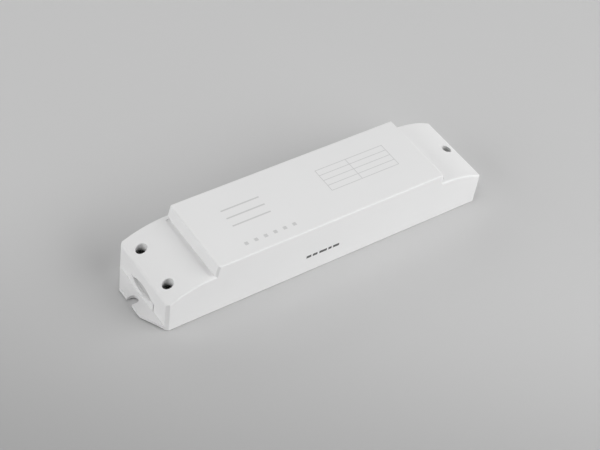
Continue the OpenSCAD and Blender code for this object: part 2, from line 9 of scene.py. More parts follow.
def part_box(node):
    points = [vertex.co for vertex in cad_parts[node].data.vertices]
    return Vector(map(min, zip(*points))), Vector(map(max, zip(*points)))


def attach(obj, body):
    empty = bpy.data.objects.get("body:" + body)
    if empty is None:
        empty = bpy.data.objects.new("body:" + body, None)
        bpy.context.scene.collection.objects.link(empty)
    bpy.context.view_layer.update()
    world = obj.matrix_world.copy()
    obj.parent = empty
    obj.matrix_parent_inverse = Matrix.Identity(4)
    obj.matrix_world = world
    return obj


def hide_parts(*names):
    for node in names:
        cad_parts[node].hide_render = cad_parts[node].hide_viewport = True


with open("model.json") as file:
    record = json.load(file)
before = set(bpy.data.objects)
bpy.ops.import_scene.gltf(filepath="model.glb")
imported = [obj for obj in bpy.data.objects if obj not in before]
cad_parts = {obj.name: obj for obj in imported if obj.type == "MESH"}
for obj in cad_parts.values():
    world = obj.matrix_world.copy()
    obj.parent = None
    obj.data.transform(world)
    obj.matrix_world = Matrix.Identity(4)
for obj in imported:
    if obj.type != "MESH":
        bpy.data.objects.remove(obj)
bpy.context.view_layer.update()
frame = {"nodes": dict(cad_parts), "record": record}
BODY = "root"
MM = 0.001

# Camera, fitted to the housing's corners in the photograph
LENS = 84.08
SENSOR = 36.0
AZIMUTH = radians(-40.604)
ELEVATION = radians(45.821)
ROLL = radians(9.389)
AIM = Vector((-9.59, -7.37, 16.8)) * MM
DISTANCE = 633.9 * MM
CLIP_START = 0.01

# Lamps: name, azimuth, elevation, power and width; all are soft panels that stand equally far off
LAMPS = [
    ("key_low", 45, 18, 31.0, 2.9),
    ("key_high", 45, 38, 12.4, 1.3),
    ("left_low", 270, 18, 19.7, 2.3),
    ("left_high", 270, 75, 11.1, 1.3),
    ("back_low", 180, 18, 8.5, 1.3),
    ("back_left", 225, 18, 4.1, 1.3),
    ("back_right", 135, 38, 3.6, 1.3),
]
LAMP_DISTANCE = 1.9
LAMP_HEIGHT = 1.3
SEEN_LEVEL = 0.5

# Floor: its grey, and the painted shade that darkens it past the mains end
FLOOR_HALF = 4.0
FLOOR_GREY = 0.583
FALL_TURN = radians(45)
FALL_START = 0.0
FALL_END = 0.2
FALL_LIGHT = 1.04
FALL_DARK = 0.65
FLOOR_CLOUD = 0.99
FLOOR_ROUGHNESS = 0.9

# Print on the cover, in millimetres: each bar is a middle and a half size along two axes
RULE = 0.18
PANEL_MIDDLE = (27, 2)
PANEL_HALF = (19 + RULE, 7 + RULE)
PANEL_ROWS = [(PANEL_MIDDLE[0], PANEL_HALF[0], y, RULE) for y in (-5, -1.5, 2, 5.5, 9)]
PANEL_COLUMNS = [(x, RULE, PANEL_MIDDLE[1], PANEL_HALF[1]) for x in (8, 25, 46)]
LONG_BARS = [(-34, 10, y, 0.4) for y in (-3, 2, 7)]
SQUARE_DOTS = [(x, 0.9, -14.5, 0.9) for x in range(-44, -14, 5)]
TOP_PRINT = PANEL_ROWS + PANEL_COLUMNS + LONG_BARS + SQUARE_DOTS
DASHES = ((-13, 1.3), (-9.6, 1.3), (-5.2, 2.1), (-1.4, 0.9), (2, 1.7))
SIDE_PRINT = [(x, half, 10.6, 0.75) for x, half in DASHES]
PRINT_DEPTH = 0.1
TOP_INK = 0.76
SIDE_INK = 0.14

# Webs in the cable mouths, in millimetres: how far out they stand, half their thickness and their foot;
# then how dark their painted shade is
WEB_OUT = 85.0
WEB_HALF = 0.45
WEB_FOOT = 2.6
WEB_SHADE = 0.72

# Patterns: the range that a noise mostly stays in
NOISE_LOW = 0.3
NOISE_HIGH = 0.7

# Cans: how level a bare top is, the stripe's half width in radii, the score's in millimetres, and greys
CAN_TOP = 0.98
CAN_STRIPE = 0.24
CAN_SCORE = 0.16
STRIPE_GREY = 0.42
BARE_GREY = 0.72
SCORE_GREY = 0.4

# Plastics: how rough the housing is, how much light it mirrors, its clouds and the depth of the grain
HOUSING_ROUGHNESS = 0.58
HOUSING_SHEEN = 0.15
HOUSING_CLOUD = 0.012
GRAIN_DEPTH = 0.006 * MM

# Meshes: edges that turn further than this stay crisp, and points closer than this are one
SMOOTH_ANGLE = radians(32)
WIRE_ANGLE = radians(60)
MERGE_GAP = 0.002 * MM

# Cover screws: a pan head with a cross recess on a threaded shank
HEAD_HEIGHT = 1.9 * MM
SCREW_SIZES = {
    "Head diameter": 4.7 * MM,
    "Head height": HEAD_HEIGHT,
    "Core diameter": 2.1 * MM,
    "Shank length": 10.0 * MM,
    "Thread pitch": 1.1 * MM,
    "Thread depth": 0.42 * MM,
    "Recess length": 2.7 * MM,
    "Recess width": 0.75 * MM,
    "Recess depth": 1.0 * MM,
}
SCREW_SEED = 7

# Shares: rim and flat of a screw's head, tip and thread of its shank, and the point of its core
RIM_SHARE = 0.55
FLAT_SHARE = 0.74
TIP_SHARE = 0.18
THREAD_SHARE = 0.76
POINT_SHARE = 0.25

# Choke: turns of wire on two sides of its ring core
TURN_SIZES = {
    "Ring middle": 5.75 * MM,
    "Loop width": 4.45 * MM,
    "Loop height": 7.95 * MM,
    "Loop corner": 0.6 * MM,
    "Wire diameter": 0.9 * MM,
    "Turn angle": radians(12.6),
}
TURNS_A_SIDE = 10

# Output choke: two layers of wire on its drum, the outer one as wide as the CAD winding
COIL_WIRE = 0.66 * MM
WIRE_ROOM = 0.97

# Board: how many copper areas there are in a metre, how long they are and the gaps between them
COPPER_SCALE = 130
COPPER_STRETCH = (0.55, 1.0, 1.0)
COPPER_GAP = 0.055

# Small chips under the board: a ceramic body between two tinned ends
END_CAPS = 0.5 * MM
BODY_SHRINK = 0.1 * MM
CHIP_CORNER = 0.12 * MM

# Control chip under the board: its body, narrower below, and four bent legs on each side
CHIP_BODY_WIDTH = 3.9 * MM
CHIP_STANDOFF = 0.15 * MM
CHIP_BEVEL = 0.22 * MM
CHIP_TAPER = 0.93
LEG_SIZES = {
    "Leg reach": 1.0 * MM,
    "Leg rise": 0.73 * MM,
    "Leg width": 0.42 * MM,
    "Leg thickness": 0.2 * MM,
}
LEG_BEND = 0.6
CORNER_SHARE = 0.2
LEGS_A_SIDE = 4
LEG_PITCH = 1.27 * MM


class Finish:
    """A material around one shader, with patterns on Object coordinates in metres."""

    def __init__(self, name):
        self.material = bpy.data.materials.new(name)
        self.material.use_nodes = True
        self.tree = self.material.node_tree
        self.shader = self.tree.nodes["Principled BSDF"]
        self.place = self.add("ShaderNodeTexCoord").outputs["Object"]

    def add(self, kind, **settings):
        node = self.tree.nodes.new(kind)
        for key, value in settings.items():
            setattr(node, key, value)
        return node

    def feed(self, socket, value):
        """Links a socket's value, or sets a plain one."""
        if isinstance(value, bpy.types.NodeSocket):
            self.tree.links.new(value, socket)
        else:
            socket.default_value = value

    def noise(self, scale, detail=2.0, stretch=(1, 1, 1)):
        spread = self.add("ShaderNodeMapping")
        self.feed(spread.inputs["Vector"], self.place)
        spread.inputs["Scale"].default_value = stretch
        node = self.add("ShaderNodeTexNoise")
        self.feed(node.inputs["Vector"], spread.outputs["Vector"])
        node.inputs["Scale"].default_value = scale
        node.inputs["Detail"].default_value = detail
        return node.outputs["Fac"]

    def cells(self, feature):
        """Distance to the copper areas' middles, seen from above."""
        spread = self.add("ShaderNodeMapping")
        self.feed(spread.inputs["Vector"], self.place)
        spread.inputs["Scale"].default_value = COPPER_STRETCH
        node = self.add("ShaderNodeTexVoronoi", voronoi_dimensions="2D", distance="CHEBYCHEV")
        node.feature = feature
        self.feed(node.inputs["Vector"], spread.outputs["Vector"])
        node.inputs["Scale"].default_value = COPPER_SCALE
        node.inputs["Randomness"].default_value = 1.0
        return node.outputs["Distance"]

    def waves(self, scale, direction, warp):
        node = self.add("ShaderNodeTexWave", bands_direction=direction)
        self.feed(node.inputs["Vector"], self.place)
        node.inputs["Scale"].default_value = scale
        node.inputs["Distortion"].default_value = warp
        return node.outputs["Fac"]

    def spread(self, value, low, high):
        """Maps the range of a noise to low and high."""
        node = self.add("ShaderNodeMapRange")
        self.feed(node.inputs["Value"], value)
        node.inputs["From Min"].default_value = NOISE_LOW
        node.inputs["From Max"].default_value = NOISE_HIGH
        node.inputs["To Min"].default_value = low
        node.inputs["To Max"].default_value = high
        return node.outputs["Result"]

    def blend(self, share, first, second):
        node = self.add("ShaderNodeMix", data_type="RGBA")
        self.feed(node.inputs["Factor"], share)
        self.feed(node.inputs[6], first)
        self.feed(node.inputs[7], second)
        return node.outputs[2]

    def math(self, operation, *values):
        node = self.add("ShaderNodeMath", operation=operation)
        for socket, value in zip(node.inputs, values):
            self.feed(socket, value)
        return node.outputs[0]

    def axes(self):
        """The place along X, Y and Z in millimetres."""
        node = self.add("ShaderNodeSeparateXYZ")
        self.feed(node.inputs["Vector"], self.place)
        return [self.math("DIVIDE", output, MM) for output in node.outputs]

    def bars(self, across, up, bars):
        """One on every bar and zero elsewhere."""
        total = 0.0
        for middle, half, height, half_height in bars:
            along = self.math("COMPARE", across, middle, half)
            beside = self.math("COMPARE", up, height, half_height)
            total = self.math("MAXIMUM", total, self.math("MULTIPLY", along, beside))
        return total

    def colour(self, value):
        self.feed(self.shader.inputs["Base Color"], value)

    def tint(self, share, factor):
        """Darkens the colour so far where share is one."""
        socket = self.shader.inputs["Base Color"]
        node = self.add("ShaderNodeMix", data_type="RGBA", blend_type="MULTIPLY")
        self.feed(node.inputs["Factor"], share)
        self.feed(node.inputs[6], socket.links[0].from_socket)
        self.feed(node.inputs[7], grey(factor))
        self.feed(socket, node.outputs[2])

    def set(self, socket, value):
        self.feed(self.shader.inputs[socket], value)

    def bump(self, height, depth):
        """Adds relief of a depth in metres on top of what is there."""
        node = self.add("ShaderNodeBump")
        self.feed(node.inputs["Height"], height)
        node.inputs["Distance"].default_value = depth
        node.inputs["Strength"].default_value = 1.0
        normal = self.shader.inputs["Normal"]
        if normal.is_linked:
            self.feed(node.inputs["Normal"], normal.links[0].from_socket)
        self.feed(normal, node.outputs["Normal"])


def grey(level):
    return (level, level, level, 1.0)


def tone(colour, factor):
    return tuple(min(1.0, c * factor) for c in colour[:3]) + (1.0,)


def moulded(name, colour, roughness, cloud, grain_depth=GRAIN_DEPTH):
    """Satin plastic with a fine eroded texture and faint flow clouds."""
    finish = Finish(name)
    clouds = finish.noise(scale=38, detail=3.0)
    finish.colour(finish.blend(clouds, tone(colour, 1 - cloud), tone(colour, 1 + cloud)))
    patches = finish.noise(scale=260)
    finish.set("Roughness", finish.spread(patches, low=roughness - 0.04, high=roughness + 0.04))
    finish.bump(finish.noise(scale=2400), depth=grain_depth)
    finish.bump(finish.noise(scale=70, detail=1.0), depth=0.02 * MM)
    return finish


def moulded_plastic(name, colour, roughness, cloud, grain_depth=GRAIN_DEPTH):
    """The plain plastic of an inner piece."""
    return moulded(name, colour, roughness, cloud, grain_depth).material


def housing_plastic(name, colour):
    """The housing's plastic, which mirrors little."""
    finish = moulded(name, colour, HOUSING_ROUGHNESS, HOUSING_CLOUD)
    finish.set("Specular IOR Level", HOUSING_SHEEN)
    return finish


def cover_finish(name, colour):
    """The cover's plastic with plain printed rules on its top and one long side."""
    finish = housing_plastic(name, colour)
    x, y, z = finish.axes()
    low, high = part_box("cover")
    on_top = finish.math("GREATER_THAN", z, high[2] / MM - PRINT_DEPTH)
    finish.tint(finish.math("MULTIPLY", on_top, finish.bars(x, y, TOP_PRINT)), TOP_INK)
    on_side = finish.math("LESS_THAN", y, low[1] / MM + PRINT_DEPTH)
    finish.tint(finish.math("MULTIPLY", on_side, finish.bars(x, z, SIDE_PRINT)), SIDE_INK)
    return finish.material


def base_finish(name, colour):
    """The base's plastic, with painted shade that darkens the thin webs in the cable mouths."""
    finish = housing_plastic(name, colour)
    x, _, z = finish.axes()
    web = finish.math("COMPARE", finish.math("ABSOLUTE", x), WEB_OUT, WEB_HALF)
    raised = finish.math("GREATER_THAN", z, WEB_FOOT)
    # Painted shade inside the cable mouths: the webs' colour is darkened there.
    finish.tint(finish.math("MULTIPLY", web, raised), WEB_SHADE)
    return finish.material


def gloss_resin(name, colour, roughness):
    """Dipped resin with a wavy, glossy skin."""
    finish = Finish(name)
    clouds = finish.noise(scale=300, detail=3.0)
    finish.colour(finish.blend(clouds, tone(colour, 0.85), tone(colour, 1.15)))
    patches = finish.noise(scale=700)
    finish.set("Roughness", finish.spread(patches, low=roughness - 0.05, high=roughness + 0.08))
    finish.bump(finish.noise(scale=350), depth=0.05 * MM)
    return finish.material


def metal(name, colour, roughness, stretch):
    """Plated or rolled metal with fine lines along one direction."""
    finish = Finish(name)
    lines = finish.noise(scale=900, detail=3.0, stretch=stretch)
    patches = finish.noise(scale=220)
    finish.colour(finish.blend(patches, tone(colour, 0.88), tone(colour, 1.06)))
    finish.set("Metallic", 1.0)
    finish.set("Roughness", finish.spread(lines, low=roughness - 0.07, high=roughness + 0.1))
    finish.bump(lines, depth=0.004 * MM)
    return finish.material


def fired(name, colour):
    """Sintered ferrite or ceramic: grainy and dull."""
    finish = Finish(name)
    grains = finish.noise(scale=1600, detail=4.0)
    finish.colour(finish.blend(grains, tone(colour, 0.7), tone(colour, 1.5)))
    finish.set("Roughness", finish.spread(grains, low=0.45, high=0.7))
    finish.bump(grains, depth=0.012 * MM)
    return finish.material


def solder_mask(name, colour):
    """Board with lacquer over copper areas that thin gaps keep apart."""
    finish = Finish(name)
    apart = finish.math("SUBTRACT", finish.cells("F2"), finish.cells("F1"))
    copper = finish.math("GREATER_THAN", apart, COPPER_GAP)
    lacquer = finish.noise(scale=300)
    bare = finish.blend(lacquer, tone(colour, 0.6), tone(colour, 0.72))
    covered = finish.blend(lacquer, tone(colour, 1.1), tone(colour, 1.3))
    finish.colour(finish.blend(copper, bare, covered))
    finish.set("Roughness", finish.spread(finish.noise(scale=900), low=0.28, high=0.4))
    finish.bump(copper, depth=0.03 * MM)
    return finish.material


def taped(name, colour):
    """Tape wound over a coil, which shows the turns below as faint ridges."""
    finish = Finish(name)
    turns = finish.waves(scale=220, direction="X", warp=0.3)
    finish.colour(finish.blend(turns, tone(colour, 0.92), tone(colour, 1.04)))
    finish.set("Roughness", finish.spread(finish.noise(scale=800), low=0.3, high=0.43))
    finish.bump(turns, depth=0.05 * MM)
    return finish.material


def enamelled(name, colour):
    """Copper wire under clear enamel."""
    finish = Finish(name)
    patches = finish.noise(scale=420)
    finish.colour(finish.blend(patches, tone(colour, 0.85), tone(colour, 1.15)))
    finish.set("Metallic", 0.8)
    finish.set("Roughness", finish.spread(finish.noise(scale=900), low=0.26, high=0.38))
    finish.set("Coat Weight", 0.4)
    finish.bump(finish.noise(scale=600), depth=0.01 * MM)
    return finish.material


def can_places():
    """The middle and radius of each can, in millimetres."""
    places = []
    for node in ("bulk_capacitor", "output_capacitors"):
        low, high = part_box(node)
        x = (low[0] + high[0]) / 2 / MM
        r = (high[0] - low[0]) / 2 / MM
        rows = {round(low[1] / MM + r, 3), round(high[1] / MM - r, 3)}
        places += [(x, y, r) for y in sorted(rows)]
    return places


def sleeved_can(name, colour):
    """Shrunk sleeve with a pale stripe on a can whose bare top is scored crosswise."""
    finish = Finish(name)
    x, y = finish.axes()[:2]
    facing = finish.add("ShaderNodeSeparateXYZ")
    finish.feed(facing.inputs["Vector"], finish.add("ShaderNodeNewGeometry").outputs["Normal"])
    top = finish.math("GREATER_THAN", facing.outputs["Z"], CAN_TOP)
    lines = finish.noise(scale=500, stretch=(1.0, 1.0, 0.1))
    stripes = []
    crosses = []
    for middle_x, middle_y, r in can_places():
        stripes.append((middle_x, CAN_STRIPE * r, middle_y - r, r / 2))
        crosses.append((middle_x, r, middle_y, CAN_SCORE))
        crosses.append((middle_x, CAN_SCORE, middle_y, r))
    stripe = finish.bars(x, y, stripes)
    score = finish.bars(x, y, crosses)
    wrap = finish.blend(lines, tone(colour, 0.8), tone(colour, 1.3))
    wrap = finish.blend(stripe, wrap, grey(STRIPE_GREY))
    bare = finish.blend(score, grey(BARE_GREY), grey(SCORE_GREY))
    finish.colour(finish.blend(top, wrap, bare))
    finish.set("Metallic", top)
    finish.set("Roughness", finish.spread(lines, low=0.24, high=0.36))
    finish.bump(lines, depth=0.02 * MM)
    groove = finish.math("SUBTRACT", 1.0, finish.math("MULTIPLY", top, score))
    finish.bump(groove, depth=0.1 * MM)
    return finish.material


def rgb(slot_name):
    """A slot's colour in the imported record."""
    found = next(m for m in frame["record"]["materials"] if m["slot"] == slot_name)
    return tuple(found["base_color"])


# Slots: what makes each one's finish, and the values that it takes beside the colour
KINDS = {
    "cover_plastic": (cover_finish, {}),
    "base_plastic": (base_finish, {}),
    "dark_screw": (metal, {"roughness": 0.38, "stretch": (1.0, 1.0, 1.0)}),
    "board": (solder_mask, {}),
    "block_plastic": (moulded_plastic, {"roughness": 0.48, "cloud": 0.05}),
    "plated_steel": (metal, {"roughness": 0.3, "stretch": (1.0, 0.15, 1.0)}),
    "fuse_case": (gloss_resin, {"roughness": 0.3}),
    "disc_coating": (gloss_resin, {"roughness": 0.25}),
    "film_case": (gloss_resin, {"roughness": 0.32}),
    "black_resin": (moulded_plastic, {"roughness": 0.55, "cloud": 0.2, "grain_depth": 0.015 * MM}),
    "ferrite": (fired, {}),
    "enamelled_wire": (enamelled, {}),
    "can_sleeve": (sleeved_can, {}),
    "sink_aluminium": (metal, {"roughness": 0.36, "stretch": (0.08, 1.0, 1.0)}),
    "bobbin_plastic": (moulded_plastic, {"roughness": 0.5, "cloud": 0.04}),
    "winding_tape": (taped, {}),
    "chip_ceramic": (fired, {}),
}
FINISHES = {slot: make(slot, rgb(slot), **values) for slot, (make, values) in KINDS.items()}
SLOT_OF = {s["node"]: s["material_slot"] for s in frame["record"]["subparts"]}


class Tree:
    """A Geometry Nodes tree with named inputs for its sizes."""

    def __init__(self, name, sizes):
        self.group = bpy.data.node_groups.new(name, "GeometryNodeTree")
        face = self.group.interface
        face.new_socket("Geometry", in_out="INPUT", socket_type="NodeSocketGeometry")
        face.new_socket("Geometry", in_out="OUTPUT", socket_type="NodeSocketGeometry")
        self.values = {}
        for label, value in sizes.items():
            socket = face.new_socket(label, in_out="INPUT", socket_type="NodeSocketFloat")
            self.values[socket.identifier] = value
        self.source = self.group.nodes.new("NodeGroupInput").outputs
        self.result = self.group.nodes.new("NodeGroupOutput").inputs["Geometry"]

    def add(self, kind, inputs=None, **settings):
        node = self.group.nodes.new(kind)
        for key, value in settings.items():
            setattr(node, key, value)
        for label, value in (inputs or {}).items():
            self.feed(node.inputs[label], value)
        return node

    def feed(self, socket, value):
        """Links a socket's value, each of several, or sets a plain one."""
        if isinstance(value, bpy.types.NodeSocket):
            self.group.links.new(value, socket)
        elif isinstance(value, list):
            for part in value:
                self.group.links.new(part, socket)
        else:
            socket.default_value = value

    def math(self, operation, first, second=0.0):
        node = self.add("ShaderNodeMath", operation=operation)
        self.feed(node.inputs[0], first)
        self.feed(node.inputs[1], second)
        return node.outputs[0]

    def vector(self, x, y, z):
        return self.add("ShaderNodeCombineXYZ", {"X": x, "Y": y, "Z": z}).outputs["Vector"]

    def placed(self, geometry, shift=(0, 0, 0), turn=(0, 0, 0)):
        inputs = {"Geometry": geometry, "Translation": shift, "Rotation": turn}
        return self.add("GeometryNodeTransform", inputs).outputs["Geometry"]

    def cone(self, low_radius, high_radius, height, count=32):
        inputs = {
            "Vertices": count,
            "Radius Bottom": low_radius,
            "Radius Top": high_radius,
            "Depth": height,
        }
        return self.add("GeometryNodeMeshCone", inputs).outputs["Mesh"]

    def box(self, x, y, z):
        return self.add("GeometryNodeMeshCube", {"Size": self.vector(x, y, z)}).outputs["Mesh"]

    def rounded(self, width, height, corner, steps):
        """The outline of a rectangle, with corners rounded in so many steps."""
        plain = self.add("GeometryNodeCurvePrimitiveQuadrilateral", {"Width": width, "Height": height})
        inputs = {"Curve": plain.outputs["Curve"], "Radius": corner, "Count": steps}
        return self.add("GeometryNodeFilletCurve", inputs, mode="POLY").outputs["Curve"]

    def swept(self, curve, section):
        """A closed strand with this section along a curve."""
        inputs = {"Curve": curve, "Profile Curve": section, "Fill Caps": True}
        return self.add("GeometryNodeCurveToMesh", inputs).outputs["Mesh"]

    def wire(self, curve, radius, sides):
        """A strand of a few sides along a curve."""
        circle = self.add("GeometryNodeCurvePrimitiveCircle", {"Resolution": sides, "Radius": radius})
        return self.swept(curve, circle.outputs["Curve"])

    def bar(self, curve, width, height, corner):
        """A strand with a soft-cornered section along a curve."""
        return self.swept(curve, self.rounded(width, height, corner, steps=2))

    def spiral(self, radius, height, turns, steps):
        """A curve that climbs around Z, with so many steps a turn."""
        inputs = {
            "Resolution": steps,
            "Rotations": turns,
            "Start Radius": radius,
            "End Radius": radius,
            "Height": height,
        }
        return self.add("GeometryNodeCurveSpiral", inputs).outputs["Curve"]

    def line(self, start_x, end_x):
        """A straight curve along X."""
        inputs = {"Start": self.vector(start_x, 0.0, 0.0), "End": self.vector(end_x, 0.0, 0.0)}
        return self.add("GeometryNodeCurvePrimitiveLine", inputs).outputs["Curve"]

    def joined(self, *parts):
        return self.add("GeometryNodeJoinGeometry", {"Geometry": list(parts)}).outputs["Geometry"]

    def close(self, points, instance, turn, material):
        """Puts the instance on every point, makes it real and gives it its finish."""
        inputs = {"Points": points, "Instance": instance, "Rotation": turn}
        spread = self.add("GeometryNodeInstanceOnPoints", inputs)
        real = self.add("GeometryNodeRealizeInstances", {"Geometry": spread.outputs["Instances"]})
        inputs = {"Geometry": real.outputs["Geometry"], "Material": material}
        self.feed(self.result, self.add("GeometryNodeSetMaterial", inputs).outputs["Geometry"])

    def mesh(self, name, places):
        """The plain mesh that the tree makes on points at these places."""
        start = bpy.data.meshes.new(name + "_places")
        start.from_pydata(places, [], [])
        carrier = add_object(name + "_places", start)
        modifier = carrier.modifiers.new("tree", "NODES")
        modifier.node_group = self.group
        for identifier, value in self.values.items():
            modifier[identifier] = value
        bpy.context.view_layer.update()
        made = carrier.evaluated_get(bpy.context.evaluated_depsgraph_get())
        result = bpy.data.meshes.new_from_object(made)
        result.name = name
        carrier.modifiers.remove(modifier)
        bpy.data.objects.remove(carrier)
        bpy.data.meshes.remove(start)
        return result


def middle_of(low, high):
    return Vector([(a + b) / 2 for a, b in zip(low, high)])


def settle(name, mesh, node, angle=SMOOTH_ANGLE):
    """Makes a piece from a mesh, which stands for a CAD node or is added beside one."""
    mesh.shade_smooth()
    mesh.set_sharp_from_angle(angle=angle)
    piece = add_object(name, mesh)
    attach(piece, BODY)
    if node:
        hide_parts(node)


def screw_places():
    """The middle of each cover screw's seat, from the tops of the CAD screws."""
    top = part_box("cover_screws")[1][2]
    tops = [v.co for v in frame["nodes"]["cover_screws"].data.vertices if top - v.co.z < MERGE_GAP]
    groups = {}
    for point in tops:
        groups.setdefault((point.x > 0, point.x < 0 and point.y > 0), []).append(point)
    places = []
    for points in groups.values():
        middle = [(min(p[i] for p in points) + max(p[i] for p in points)) / 2 for i in (0, 1)]
        places.append((middle[0], middle[1], top - HEAD_HEIGHT))
    return sorted(places)


def add_screws():
    """Three screws, each turned to another angle."""
    tree = Tree("cover_screw", SCREW_SIZES)
    head_r = tree.math("DIVIDE", tree.source["Head diameter"], 2.0)
    head_h = tree.source["Head height"]
    core_r = tree.math("DIVIDE", tree.source["Core diameter"], 2.0)
    length = tree.source["Shank length"]
    rim_h = tree.math("MULTIPLY", head_h, RIM_SHARE)
    crown_h = tree.math("SUBTRACT", head_h, rim_h)
    rim = tree.cone(head_r, head_r, rim_h)
    crown = tree.cone(head_r, tree.math("MULTIPLY", head_r, FLAT_SHARE), crown_h)
    crown = tree.placed(crown, tree.vector(0.0, 0.0, rim_h))
    inputs = {"Mesh 2": [rim, crown]}
    head = tree.add("GeometryNodeMeshBoolean", inputs, operation="UNION", solver="EXACT")
    recess_l = tree.source["Recess length"]
    recess_w = tree.source["Recess width"]
    recess_h = tree.math("MULTIPLY", tree.source["Recess depth"], 2.0)
    at_top = tree.vector(0.0, 0.0, head_h)
    slots = [
        tree.placed(tree.box(recess_l, recess_w, recess_h), at_top),
        tree.placed(tree.box(recess_w, recess_l, recess_h), at_top),
    ]
    inputs = {"Mesh 1": head.outputs["Mesh"], "Mesh 2": slots}
    head = tree.add("GeometryNodeMeshBoolean", inputs, operation="DIFFERENCE", solver="EXACT")
    below = tree.math("MULTIPLY", length, -1.0)
    tip_h = tree.math("MULTIPLY", length, TIP_SHARE)
    core_h = tree.math("SUBTRACT", length, tip_h)
    above_tip = tree.vector(0.0, 0.0, tree.math("ADD", below, tip_h))
    core = tree.placed(tree.cone(core_r, core_r, core_h, count=20), above_tip)
    tip = tree.cone(tree.math("MULTIPLY", core_r, POINT_SHARE), core_r, tip_h, count=20)
    tip = tree.placed(tip, tree.vector(0.0, 0.0, below))
    thread_h = tree.math("MULTIPLY", length, THREAD_SHARE)
    turns = tree.math("DIVIDE", thread_h, tree.source["Thread pitch"])
    helix = tree.spiral(core_r, thread_h, turns, steps=18)
    thread = tree.placed(tree.wire(helix, tree.source["Thread depth"], sides=4), above_tip)
    screw = tree.joined(head.outputs["Mesh"], core, tip, thread)
    turn = tree.add("FunctionNodeRandomValue", data_type="FLOAT_VECTOR")
    turn.inputs[0].default_value = (0, 0, 0)
    turn.inputs[1].default_value = (0, 0, pi / 2)
    turn.inputs["Seed"].default_value = SCREW_SEED
    tree.close(tree.source["Geometry"], screw, turn.outputs[0], FINISHES["dark_screw"])
    settle("sunk_screws", tree.mesh("sunk_screws", screw_places()), "cover_screws")


def add_choke_turns():
    """Single turns of wire around both halves of the ring core."""
    middle = middle_of(*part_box("choke_windings"))
    tree = Tree("choke_turns", TURN_SIZES)
    width = tree.source["Loop width"]
    height = tree.source["Loop height"]
    loop = tree.rounded(width, height, tree.source["Loop corner"], steps=4)
    wire_r = tree.math("DIVIDE", tree.source["Wire diameter"], 2.0)
    turn = tree.wire(loop, wire_r, sides=8)
    upright = tree.placed(turn, tree.vector(tree.source["Ring middle"], 0.0, 0.0), (pi / 2, 0, 0))
    index = tree.add("GeometryNodeInputIndex").outputs["Index"]
    side = tree.math("FLOOR", tree.math("DIVIDE", index, float(TURNS_A_SIDE)))
    step = tree.math("SUBTRACT", tree.math("MODULO", index, float(TURNS_A_SIDE)), (TURNS_A_SIDE - 1) / 2)
    angle = tree.math("MULTIPLY", tree.math("ADD", side, 0.5), pi)
    angle = tree.math("ADD", angle, tree.math("MULTIPLY", step, tree.source["Turn angle"]))
    tree.close(tree.source["Geometry"], upright, tree.vector(0.0, 0.0, angle), FINISHES["enamelled_wire"])
    places = [middle] * (2 * TURNS_A_SIDE)
    settle("choke_turns", tree.mesh("choke_turns", places), "choke_windings", WIRE_ANGLE)


def add_output_coil():
    """Two wound layers of wire on the drum core."""
    low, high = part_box("output_choke_winding")
    sizes = {"Outer diameter": high[0] - low[0], "Height": high[2] - low[2], "Wire diameter": COIL_WIRE}
    tree = Tree("output_coil", sizes)
    wire_d = tree.source["Wire diameter"]
    wire_r = tree.math("DIVIDE", wire_d, 2.0)
    rise = tree.math("SUBTRACT", tree.source["Height"], wire_d)
    radius = tree.math("SUBTRACT", tree.math("DIVIDE", tree.source["Outer diameter"], 2.0), wire_r)
    turns = tree.math("DIVIDE", rise, wire_d)
    strand_r = tree.math("MULTIPLY", wire_r, WIRE_ROOM)
    layers = []
    for layer_r in (radius, tree.math("SUBTRACT", radius, wire_d)):
        helix = tree.spiral(layer_r, rise, turns, steps=24)
        layers.append(tree.wire(helix, strand_r, sides=8))
    coil = tree.placed(tree.joined(*layers), tree.vector(0.0, 0.0, wire_r))
    tree.close(tree.source["Geometry"], coil, (0, 0, 0), FINISHES["enamelled_wire"])
    middle = middle_of(low, high)
    place = (middle.x, middle.y, low[2])
    settle("output_coil", tree.mesh("output_coil", [place]), "output_choke_winding", WIRE_ANGLE)


def spans(node, axis):
    """Low and high ends of a node's separate boxes along one axis."""
    ends = sorted({round(v.co[axis], 6) for v in frame["nodes"][node].data.vertices})
    return list(zip(ends[::2], ends[1::2]))


def add_small_chips():
    """Ceramic bodies in rows under the board, and the tinned ends of all of them."""
    low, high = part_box("chip_parts")
    columns = spans("chip_parts", 0)
    rows = spans("chip_parts", 1)
    level = (low[2] + high[2]) / 2
    places = [((x[0] + x[1]) / 2, (y[0] + y[1]) / 2, level) for x in columns for y in rows]
    sizes = {
        "Length": columns[0][1] - columns[0][0],
        "Width": rows[0][1] - rows[0][0],
        "Height": high[2] - low[2],
        "End length": END_CAPS,
        "Corner": CHIP_CORNER,
    }
    tree = Tree("small_chip_body", sizes)
    half = tree.math("DIVIDE", tree.source["Length"], 2.0)
    reach = tree.math("SUBTRACT", half, tree.source["End length"])
    width = tree.math("SUBTRACT", tree.source["Width"], BODY_SHRINK)
    height = tree.math("SUBTRACT", tree.source["Height"], BODY_SHRINK)
    path = tree.line(tree.math("MULTIPLY", reach, -1.0), reach)
    body = tree.bar(path, width, height, tree.source["Corner"])
    tree.close(tree.source["Geometry"], body, (0, 0, 0), FINISHES["chip_ceramic"])
    settle("small_chip_bodies", tree.mesh("small_chip_bodies", places), "chip_parts")
    tree = Tree("small_chip_ends", sizes)
    outer = tree.math("DIVIDE", tree.source["Length"], 2.0)
    inner = tree.math("SUBTRACT", outer, tree.source["End length"])
    path = tree.line(inner, outer)
    cap = tree.bar(path, tree.source["Width"], tree.source["Height"], tree.source["Corner"])
    both = tree.joined(cap, tree.placed(cap, turn=(0, 0, pi)))
    tree.close(tree.source["Geometry"], both, (0, 0, 0), FINISHES["plated_steel"])
    settle("small_chip_ends", tree.mesh("small_chip_ends", places), None)


